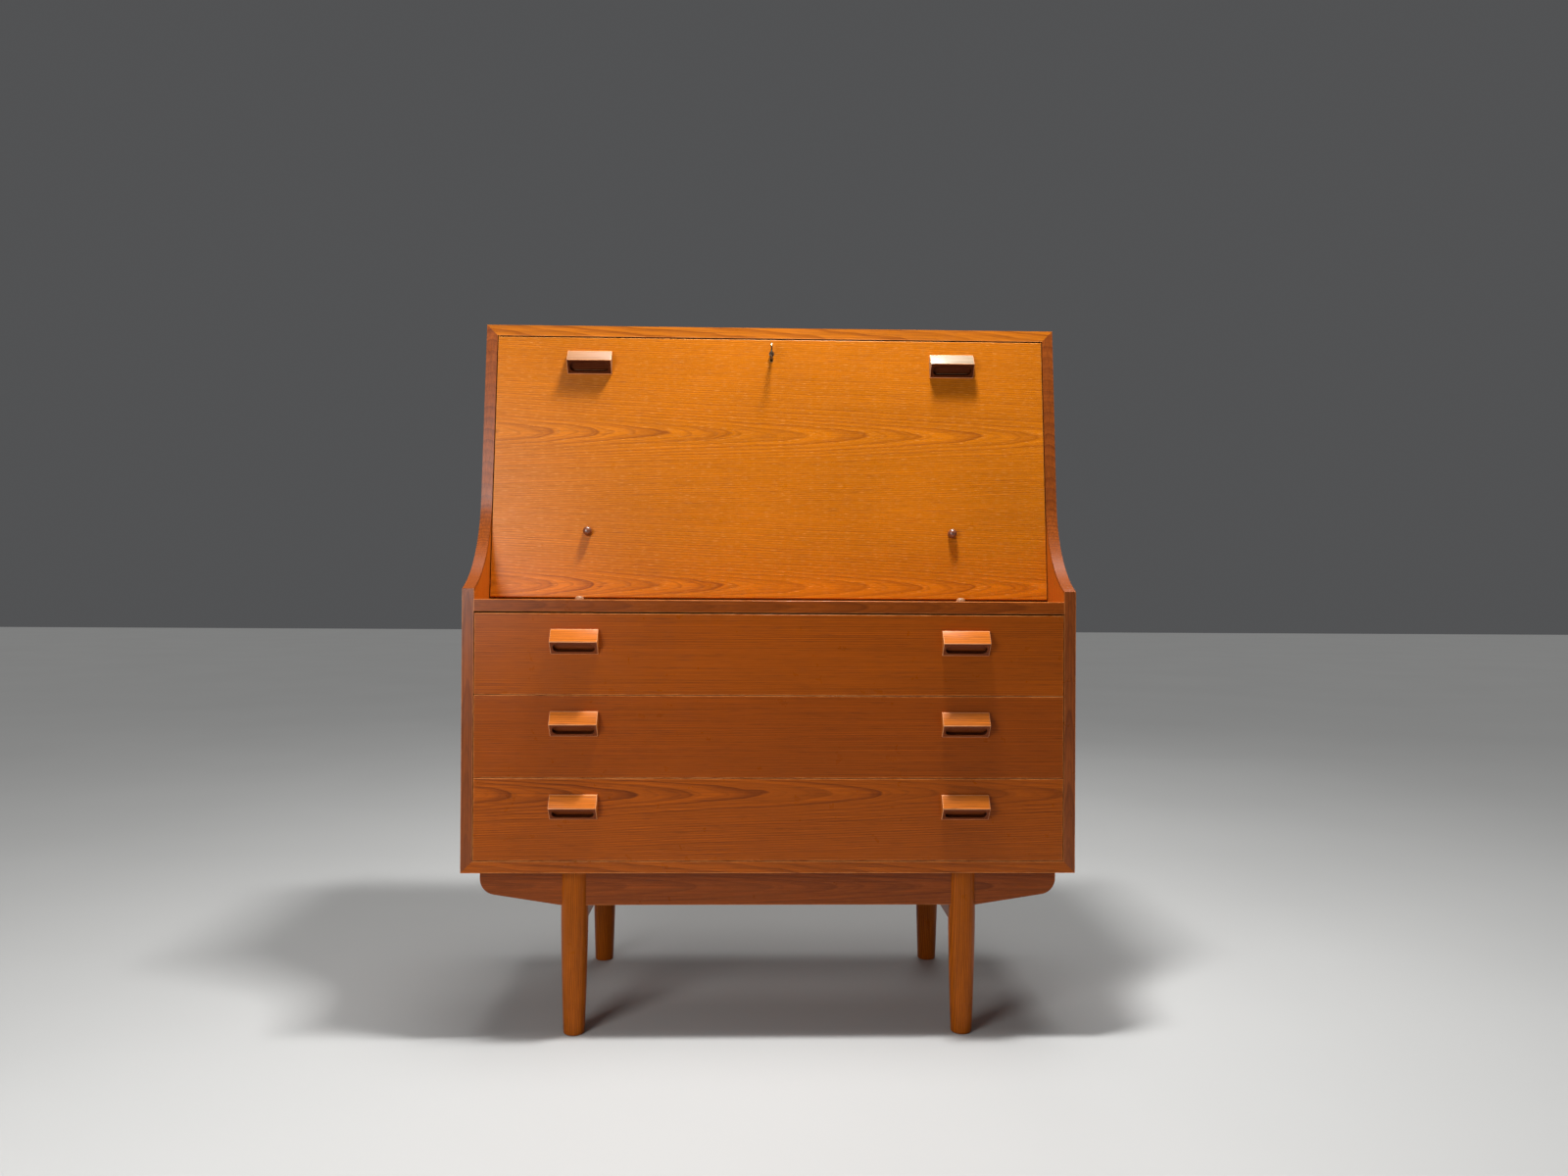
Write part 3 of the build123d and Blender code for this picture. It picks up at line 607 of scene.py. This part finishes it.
def dressWood():
    flapBox = [Vector(corner) + flapFoot for corner in flapCorners]
    dressBoard("fall_front", flapTeak, "frontX", 3, flapFoot, (-lean, 0, 0), True, flapBox)
    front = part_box("drawer_bottom_front")[0][1]
    arched = dict(drawerTeak, early=(0.40, 0.080, 0.001, 1))
    dressBoard("drawer_bottom_front", arched, "frontX", 8, (0, front, hearts["bottomDrawer"]))
    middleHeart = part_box("drawer_middle_front")[1][2] - hearts["middleDrawer"]
    darker = dict(straightTeak, early=(0.335, 0.064, 0.001, 1))
    dressBoard("drawer_middle_front", darker, "frontX", 21, (0, front, middleHeart))
    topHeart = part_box("drawer_top_front")[0][2] + hearts["topDrawer"]
    dressBoard("drawer_top_front", straightTeak, "frontX", 34, (0, front, topHeart))
    beside, behind = hearts["leg"]
    for seed, side in enumerate(("left", "right")):
        dressBoard("side_panel_" + side, dict(caseTeak, roughness=(0.44, 0.54)), "sideZ", 41 + seed)
        dressBoard("side_edging_" + side, edgingTeak, "frontZ", 51 + seed)
        dressBoard("base_side_rail_" + side, solidTeak, "sideY", 61 + seed)
        for number, end in enumerate(("front", "back")):
            leg = f"leg_{end}_{side}"
            low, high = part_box(leg)
            heart = ((low[0] + high[0]) / 2 + beside, (low[1] + high[1]) / 2 + behind, 0)
            dressBoard(leg, legTeak, "frontZ", 71 + 2 * seed + number, heart)
    dressBoard("top_panel", dict(caseTeak, early=(0.47, 0.128, 0.006, 1)), "flatX", 81)
    dressBoard("bottom_panel", dict(caseTeak, early=(0.38, 0.078, 0.002, 1)), "flatX", 82)
    dressBoard("ledge_panel", caseTeak, "flatX", 83)
    dressBoard("ledge_lipping", dict(solidTeak, early=(0.27, 0.055, 0.003, 1)), "frontX", 84)
    dressBoard("base_front_rail", railTeak, "frontX", 85)
    dressBoard("base_back_rail", railTeak, "frontX", 86)
    # painted sheen: the ledge pegs take the paled pull colour
    dressBoard("ledge_pegs", sheenPaintedPullTeak, "frontZ", 87)
    dressBoard("flap_pegs", pegTeak, "frontX", 88)
    inside = {
        "desk_floor": "flatX",
        "interior_shelf": "flatX",
        "interior_dividers": "sideZ",
        "bay_shelves": "flatX",
        "pigeonhole_partitions": "sideZ",
        "flap_stop_strip": "frontX",
        "small_drawer_left": "frontX",
        "small_drawer_right": "frontX",
    }
    for seed, node in enumerate(inside):
        dressBoard(node, insideTeak, inside[node], 91 + seed)
    boxes = {"floor_bearers": "frontX", "drawer_runners": "sideY"}
    for level in ("bottom", "middle", "top"):
        boxes[f"drawer_{level}_side_left"] = "sideY"
        boxes[f"drawer_{level}_side_right"] = "sideY"
        boxes[f"drawer_{level}_back"] = "frontX"
    for seed, node in enumerate(boxes):
        dressBoard(node, boxWood, boxes[node], 101 + seed)
    plywood = {"back_panel_lower": "frontX", "back_panel_upper": "frontX"}
    for level in ("bottom", "middle", "top"):
        plywood[f"drawer_{level}_bottom"] = "flatX"
    for seed, node in enumerate(plywood):
        dressBoard(node, backWood, plywood[node], 121 + seed)


dressWood()
print("wood dressed")

# Metal

agedBrass = {"bright": (0.68, 0.47, 0.20, 1), "dull": (0.30, 0.19, 0.08, 1), "roughness": (0.28, 0.5)}
keyBrass = {"bright": (0.30, 0.25, 0.18, 1), "dull": (0.05, 0.04, 0.03, 1), "roughness": (0.22, 0.4)}
plainSteel = {"bright": (0.56, 0.55, 0.53, 1), "dull": (0.28, 0.26, 0.24, 1), "roughness": (0.3, 0.5)}
metalFinish = {
    "wornSize": 0.02,
    "scratchScale": (300, 900, 900),
    "scratchSeed": 4.0,
    "bump": 0.08,
    "scratchDepth": 0.0003,
}


def metalMaterial(name, metal, seed):
    material, tree, shader = newMaterial(name)
    place = objectPlace(tree)
    worn = placeGroup(tree, handling, Place=place, Size=metalFinish["wornSize"], Seed=float(seed))
    scratchSpace = calcVector(tree, "MULTIPLY", place, metalFinish["scratchScale"])
    scratch = noise(tree, scratchSpace, seed + metalFinish["scratchSeed"], 2.0, 0.6)
    colour = mixColour(tree, worn["Polish"], metal["dull"], metal["bright"])
    connect(tree, colour, shader.inputs["Base Color"])
    shader.inputs["Metallic"].default_value = 1.0
    rough = remap(tree, worn["Cloud"], 0.0, 1.0, *metal["roughness"])
    connect(tree, rough, shader.inputs["Roughness"])
    addBump(tree, shader, scratch, metalFinish["bump"], metalFinish["scratchDepth"])
    return material


def dress(piece, material):
    piece.data.materials.clear()
    piece.data.materials.append(material)


brassMaterial = metalMaterial("agedBrass", agedBrass, 5)
keyMaterial = metalMaterial("keyBrass", keyBrass, 6)
steelMaterial = metalMaterial("plainSteel", plainSteel, 7)
for node in ("keyhole_liner", "lock_case", "lock_screws", "pivot_bushes", "pivot_pins", "strike_plate"):
    dressNode(node, brassMaterial)
for node in ("base_screws", "lock_bolt"):
    dressNode(node, steelMaterial)
print("metal dressed")

# Modelling helpers

near = 0.0001  # two places closer than this count as one
facing = 0.99  # cosine from which a face counts as turned one way
aside = 0.1  # and up to which it counts as turned across it
smoothAngle = math.radians(35)


def deselectAll():
    if bpy.context.mode != "OBJECT":
        bpy.ops.object.mode_set(mode="OBJECT")
    bpy.ops.object.select_all(action="DESELECT")


def nameActive(name):
    piece = bpy.context.active_object
    piece.name = name
    piece.data.name = name
    bpy.ops.object.transform_apply(location=True, rotation=True, scale=True)
    return piece


def pick(kind, parts, test):
    bpy.ops.mesh.select_mode(type=kind)
    bpy.ops.mesh.select_all(action="DESELECT")
    mesh = bmesh.from_edit_mesh(bpy.context.active_object.data)
    for part in getattr(mesh, parts):
        part.select_set(test(part))
    mesh.select_flush_mode()
    bmesh.update_edit_mesh(bpy.context.active_object.data)


def pickFaces(test):
    pick("FACE", "faces", test)


def pickEdges(test):
    pick("EDGE", "edges", test)


def pickCorners(test):
    pick("VERT", "verts", lambda corner: test(corner.co))


def copyPiece(source, name, spot, tilt=0.0):
    deselectAll()
    piece = source.copy()
    piece.data = source.data.copy()
    piece.name = name
    piece.data.name = name
    bpy.context.scene.collection.objects.link(piece)
    piece.location = spot
    piece.rotation_euler = (tilt, 0, 0)
    piece.select_set(True)
    bpy.context.view_layer.objects.active = piece
    bpy.ops.object.transform_apply(location=True, rotation=True, scale=True)
    return piece


def joinPieces(pieces, name):
    deselectAll()
    for piece in pieces:
        piece.select_set(True)
    bpy.context.view_layer.objects.active = pieces[0]
    bpy.ops.object.join()
    pieces[0].name = name
    pieces[0].data.name = name
    return pieces[0]


def discard(piece):
    bpy.data.objects.remove(piece, do_unlink=True)


def pieceBox(piece):
    corners = [corner.co for corner in piece.data.vertices]
    low = Vector([min(spot[axis] for spot in corners) for axis in range(3)])
    high = Vector([max(spot[axis] for spot in corners) for axis in range(3)])
    return low, high


def standFor(piece, node, body):
    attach(piece, body)
    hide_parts(node)


# Pulls: a wedge with a finger slot in its underside

pull = {
    "width": 0.078,
    "height": 0.041,
    "proud": 0.019,
    "topProud": 0.005,
    "lowProud": 0.0015,
    "round": 0.0009,
    "rim": 0.005,
    "slotCorner": 0.0075,
    "slotDepth": 0.0065,
    "slotRound": 0.0007,
    "sharp": 0.3,  # angle between two faces from which the edge is rounded
    "stripArea": 0.0001,  # the rounded edges have smaller faces than this
    "underArea": 0.0004,  # and the underside a larger one than this
    "slotSides": 20,  # the slot's opening has more sides than this, the rest of the underside fewer
    "spacing": 0.3215,
    "belowTop": 0.0463,
}
# The under and slot finishes are painted shade.
pullFinishes = ("body", "edge", "under", "slot")
pullWoods = {"body": pullTeak, "edge": pullEdgeHighlightTeak, "under": pullUnderShadeTeak, "slot": pullSlotShadeTeak}
sheenAndShadePullWoods = dict(pullWoods, body=sheenPaintedPullTeak, under=deepUnderShadeTeak)
glareAndShadePullWoods = dict(sheenAndShadePullWoods, body=glarePaintedPullTeak)


def giveFinish(piece, finish):
    piece.active_material_index = pullFinishes.index(finish)
    bpy.ops.object.material_slot_assign()


def modelPull():
    deselectAll()
    height, proud = pull["height"], pull["proud"]
    bpy.ops.mesh.primitive_cube_add(
        size=1, location=(0, -proud / 2, 0), scale=(pull["width"], proud, height)
    )
    piece = nameActive("pullPattern")
    for finish in pullFinishes:
        piece.data.materials.append(bpy.data.materials.new("pull_" + finish))
    bpy.ops.object.mode_set(mode="EDIT")
    bpy.ops.mesh.select_all(action="SELECT")
    bpy.ops.mesh.bisect(plane_co=(0, 0, 0), plane_no=(0, 0, 1))  # the ridge of the wedge
    pickCorners(lambda spot: spot.y < -proud / 2 and spot.z > height / 4)
    bpy.ops.transform.translate(value=(0, proud - pull["topProud"], 0))
    pickCorners(lambda spot: spot.y < -proud / 2 and spot.z < -height / 4)
    bpy.ops.transform.translate(value=(0, proud - pull["lowProud"], 0))

    def isOuter(edge):
        furthest = min(corner.co.y for corner in edge.verts)
        return edge.calc_face_angle(0) > pull["sharp"] and furthest < -near

    pickEdges(isOuter)
    bpy.ops.mesh.bevel(offset=pull["round"], segments=3, affect="EDGES")
    # the rounded edge strips get the pale finish: painted highlight
    pickFaces(lambda face: face.calc_area() < pull["stripArea"])
    giveFinish(piece, "edge")
    under = Vector((0, -height / 2, -(proud - pull["lowProud"]))).normalized()

    def isUnder(face):
        return face.normal.dot(under) > facing and face.calc_area() > pull["underArea"]

    # the underside gets the dark finish: painted shade
    pickFaces(isUnder)
    giveFinish(piece, "under")
    bpy.ops.mesh.inset(thickness=pull["rim"] - pull["round"], depth=0)
    inner = set()
    mesh = bmesh.from_edit_mesh(piece.data)
    for corner in mesh.verts:
        if corner.select:
            inner.add(corner.co.copy().freeze())
    pickCorners(lambda spot: spot.copy().freeze() in inner)
    bpy.ops.mesh.bevel(offset=pull["slotCorner"], segments=7, affect="VERTICES")
    pickFaces(lambda face: isUnder(face) and len(face.verts) > pull["slotSides"])
    bpy.ops.mesh.extrude_region_move(TRANSFORM_OT_translate={"value": -under * pull["slotDepth"]})
    bpy.ops.mesh.select_more()
    # the slot gets the darkest finish: painted shade in the recess
    giveFinish(piece, "slot")
    pickFaces(isUnder)
    giveFinish(piece, "under")
    bottom = Vector((0, -(proud + pull["lowProud"]) / 2, -height / 4))

    def isRim(edge):
        across = [face.normal.dot(under) for face in edge.link_faces]
        atFace = all(abs((corner.co - bottom).dot(under)) < near for corner in edge.verts)
        return atFace and len(across) == 2 and min(across) < aside and max(across) > facing

    pickEdges(isRim)
    bpy.ops.mesh.bevel(offset=pull["slotRound"], segments=2, affect="EDGES")
    bpy.ops.object.mode_set(mode="OBJECT")
    bpy.ops.object.shade_smooth_by_angle(angle=smoothAngle)
    return piece


def placePulls():
    pattern = modelPull()
    seed = 200
    levels = {level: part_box(f"drawer_{level}_front") for level in ("bottom", "middle", "top")}
    front = levels["bottom"][0][1]
    for level, (low, high) in levels.items():
        spots = [Vector((side * pull["spacing"], front, high[2] - pull["belowTop"])) for side in (-1, 1)]
        pair = [copyPiece(pattern, level + "Pull", spot) for spot in spots]
        finishPulls(pair, (pullWoods, pullWoods), level + "DrawerPulls", seed)
        standFor(pair[0], f"drawer_{level}_pulls", level + "_drawer")
        seed += 2
    upper = flapFoot + flapUp * (flapLength - pull["belowTop"])
    spots = [upper + Vector((side * pull["spacing"], 0, 0)) for side in (-1, 1)]
    pair = [copyPiece(pattern, "flapPull", spot, -lean) for spot in spots]
    # left and right flap pulls: painted sheen on their bodies, paler on the right one, and painted shade
    # under them
    finishPulls(pair, (sheenAndShadePullWoods, glareAndShadePullWoods), "flapPulls", seed)
    standFor(pair[0], "flap_pulls", "flap")
    discard(pattern)


def finishPulls(pair, woods, name, seed):
    for side, piece, finishes in zip(("Left", "Right"), pair, woods):
        low, high = pieceBox(piece)
        for number, finish in enumerate(pullFinishes):
            label = name + side + finish.title()
            material = woodMaterial(label, finishes[finish], "frontX", (low + high) / 2, (low, high), seed)
            piece.data.materials[number] = material
        seed += 1
    joinPieces(pair, name)


placePulls()
print("pulls modelled")

# Key: a flat ring bow on a shank, with a collar at the lock

key = {
    "up": 0.441,
    "ring": (0.010, 0.015),
    "eye": 0.0042,
    "board": 0.0026,
    "round": 0.0007,
    "middle": 0.0195,
    "shank": 0.0029,
    "shankEnd": 0.0110,
    "collar": 0.0044,
    "collarFrom": 0.0025,
    "collarTo": 0.0045,
    "collarRound": 0.0005,
    "sharp": 0.8,  # angle between two faces from which the edge is rounded
}


def modelKey():
    deselectAll()
    bpy.ops.mesh.primitive_cylinder_add(
        vertices=48, radius=1, depth=1, rotation=(0, math.radians(90), 0), location=(0, -key["middle"], 0)
    )
    bow = nameActive("keyBow")
    bpy.ops.object.mode_set(mode="EDIT")
    bpy.ops.mesh.select_all(action="SELECT")
    middle = (0, -key["middle"], 0)
    bpy.ops.transform.resize(value=(key["board"], *key["ring"]), center_override=middle)
    pickFaces(lambda face: abs(face.normal.x) > facing)
    bpy.ops.mesh.inset(thickness=key["eye"], depth=0)
    bpy.ops.mesh.bridge_edge_loops()
    bpy.ops.mesh.select_all(action="SELECT")
    bpy.ops.mesh.normals_make_consistent(inside=False)
    pickEdges(lambda edge: edge.calc_face_angle(0) > key["sharp"])
    bpy.ops.mesh.bevel(offset=key["round"], segments=3, affect="EDGES")
    bpy.ops.object.mode_set(mode="OBJECT")

    deselectAll()
    shankMiddle = -key["shankEnd"] / 2
    bpy.ops.mesh.primitive_cylinder_add(
        vertices=32,
        radius=key["shank"],
        depth=key["shankEnd"],
        rotation=(math.radians(90), 0, 0),
        location=(0, shankMiddle, 0),
    )
    shank = nameActive("keyShank")
    bpy.ops.object.mode_set(mode="EDIT")
    for along in (key["collarFrom"], key["collarTo"]):
        bpy.ops.mesh.select_all(action="SELECT")
        bpy.ops.mesh.bisect(plane_co=(0, -along, 0), plane_no=(0, 1, 0))
    collarMiddle = -(key["collarFrom"] + key["collarTo"]) / 2
    pickFaces(lambda face: abs(face.calc_center_median().y - collarMiddle) < near)
    grow = key["collar"] - key["shank"]
    bpy.ops.mesh.extrude_region_shrink_fatten(TRANSFORM_OT_shrink_fatten={"value": grow})
    within = (key["collar"] + key["shank"]) / 2

    def isCollarEdge(edge):
        return edge.calc_face_angle(0) > key["sharp"] and edge.verts[0].co.xz.length > within

    pickEdges(isCollarEdge)
    bpy.ops.mesh.bevel(offset=key["collarRound"], segments=2, affect="EDGES")
    bpy.ops.object.mode_set(mode="OBJECT")
    piece = joinPieces([bow, shank], "keyPiece")
    bpy.ops.object.shade_smooth_by_angle(angle=smoothAngle)
    placed = copyPiece(piece, "cabinetKey", flapFoot + flapUp * key["up"], -lean)
    discard(piece)
    dress(placed, keyMaterial)
    standFor(placed, "key", "key")


modelKey()
print("key modelled")

# Screws in the back: slotted countersunk heads

screw = {
    "radius": 0.0030,
    "shank": 0.0015,
    "head": 0.0018,
    "length": 0.0170,
    "proud": 0.0002,
    "slotWidth": 0.0007,
    "slotDepth": 0.0007,
    "slotStep": 37,  # degrees from one slot to the next, as each stops at its own angle
    "rows": (0.330, 0.450, 0.580, 0.690, 0.745, 0.880, 1.020, 1.160),  # up both sides
    "columns": (-0.3645, -0.1215, 0.1215, 0.3645),  # along the top and the bottom
}


def modelScrew():
    deselectAll()
    depth = screw["head"] + screw["proud"]
    middle = (0, screw["proud"] - depth / 2, 0)
    bpy.ops.mesh.primitive_cylinder_add(
        vertices=24, radius=screw["radius"], depth=depth, rotation=(math.radians(90), 0, 0), location=middle
    )
    piece = nameActive("screwPattern")
    bpy.ops.object.mode_set(mode="EDIT")
    pickFaces(lambda face: face.normal.y < -facing)
    shrink = screw["shank"] / screw["radius"]
    bpy.ops.transform.resize(value=(shrink, 1, shrink), center_override=(0, -screw["head"], 0))
    reach = screw["length"] - screw["head"]
    bpy.ops.mesh.extrude_region_move(TRANSFORM_OT_translate={"value": (0, -reach, 0)})
    pickEdges(lambda edge: min(corner.co.y for corner in edge.verts) > screw["proud"] / 2)
    bpy.ops.mesh.bevel(offset=screw["proud"], segments=2, affect="EDGES")
    for side in (-1, 1):
        bpy.ops.mesh.select_all(action="SELECT")
        bpy.ops.mesh.bisect(plane_co=(0, 0, side * screw["slotWidth"] / 2), plane_no=(0, 0, 1))

    def inSlot(face):
        return face.normal.y > facing and abs(face.calc_center_median().z) < screw["slotWidth"] / 2

    pickFaces(inSlot)
    bpy.ops.mesh.extrude_region_move(TRANSFORM_OT_translate={"value": (0, -screw["slotDepth"], 0)})
    bpy.ops.object.mode_set(mode="OBJECT")
    bpy.ops.object.shade_smooth_by_angle(angle=smoothAngle)
    return piece


def placeScrews():
    pattern = modelScrew()
    low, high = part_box("back_panel_screws")
    face = high[1] - screw["proud"]  # the back's own surface
    side = high[0] - screw["radius"]
    spots = [(sign * side, height) for height in screw["rows"] for sign in (-1, 1)]
    for height in (low[2] + screw["radius"], high[2] - screw["radius"]):
        spots.extend((column, height) for column in screw["columns"])
    copies = []
    for number, (x, height) in enumerate(spots):
        piece = copyPiece(pattern, "backScrew", (0, 0, 0))
        piece.rotation_euler = (0, math.radians(screw["slotStep"] * number % 180), 0)
        piece.location = (x, face, height)
        bpy.ops.object.transform_apply(location=True, rotation=True, scale=True)
        copies.append(piece)
    screws = joinPieces(copies, "backPanelScrews")
    discard(pattern)
    dress(screws, steelMaterial)
    standFor(screws, "back_panel_screws", "case")


placeScrews()
print("screws modelled")

# Floor and light

floorSet = {
    "size": 40,
    "colour": (0.50, 0.50, 0.49, 1),
    "shade": 0.96,  # of the colour, in its darker patches
    "patchSize": 0.8,
    "roughness": 0.75,
}
lights = {
    "overhead": {"spot": (0.16, -0.33, 2.45), "aim": (0.05, -0.15, 0.7), "size": (0.30, 0.14), "power": 60},
    "leftFront": {"spot": (-1.10, -1.65, 1.15), "aim": (-0.2, 0, 0.8), "size": (0.7, 0.9), "power": 17},
    "back": {"spot": (0.6, 2.6, 2.6), "aim": (0, 0.1, 0.6), "size": (1.6, 1.0), "power": 14},
}
daylight = {"tilt": (-0.03, 0.04), "spread": 0.45, "strength": 1.1}  # soft light straight from above
surroundings = {"colour": (0.70, 0.71, 0.73, 1), "strength": 0.12}


def makeFloor():
    deselectAll()
    bpy.ops.mesh.primitive_plane_add(size=floorSet["size"], location=(0, 0, 0))
    floor = nameActive("studioFloor")
    material, tree, shader = newMaterial("studioFloor")
    place = objectPlace(tree)
    worn = placeGroup(tree, handling, Place=place, Size=floorSet["patchSize"], Seed=1.0)
    base = floorSet["colour"]
    darker = tuple(value * floorSet["shade"] for value in base[:3]) + (1,)
    connect(tree, mixColour(tree, worn["Cloud"], darker, base), shader.inputs["Base Color"])
    shader.inputs["Roughness"].default_value = floorSet["roughness"]
    dress(floor, material)


def makeLights():
    for name, setting in lights.items():
        lamp = bpy.data.lights.new(name, "AREA")
        lamp.shape = "RECTANGLE"
        lamp.size, lamp.size_y = setting["size"]
        lamp.energy = setting["power"]
        holder = bpy.data.objects.new(name, lamp)
        bpy.context.scene.collection.objects.link(holder)
        holder.location = setting["spot"]
        aim = Vector(setting["aim"]) - Vector(setting["spot"])
        holder.rotation_euler = aim.to_track_quat("-Z", "Y").to_euler()
    lamp = bpy.data.lights.new("daylight", "SUN")
    lamp.angle = daylight["spread"]
    lamp.energy = daylight["strength"]
    holder = bpy.data.objects.new("daylight", lamp)
    bpy.context.scene.collection.objects.link(holder)
    holder.rotation_euler = (*daylight["tilt"], 0)
    world = bpy.data.worlds.new("studio")
    world.use_nodes = True
    sky = world.node_tree.nodes["Background"]
    sky.inputs["Color"].default_value = surroundings["colour"]
    sky.inputs["Strength"].default_value = surroundings["strength"]
    bpy.context.scene.world = world
    bpy.context.scene.view_settings.view_transform = "Standard"


makeFloor()
makeLights()
print("floor and lights ready")
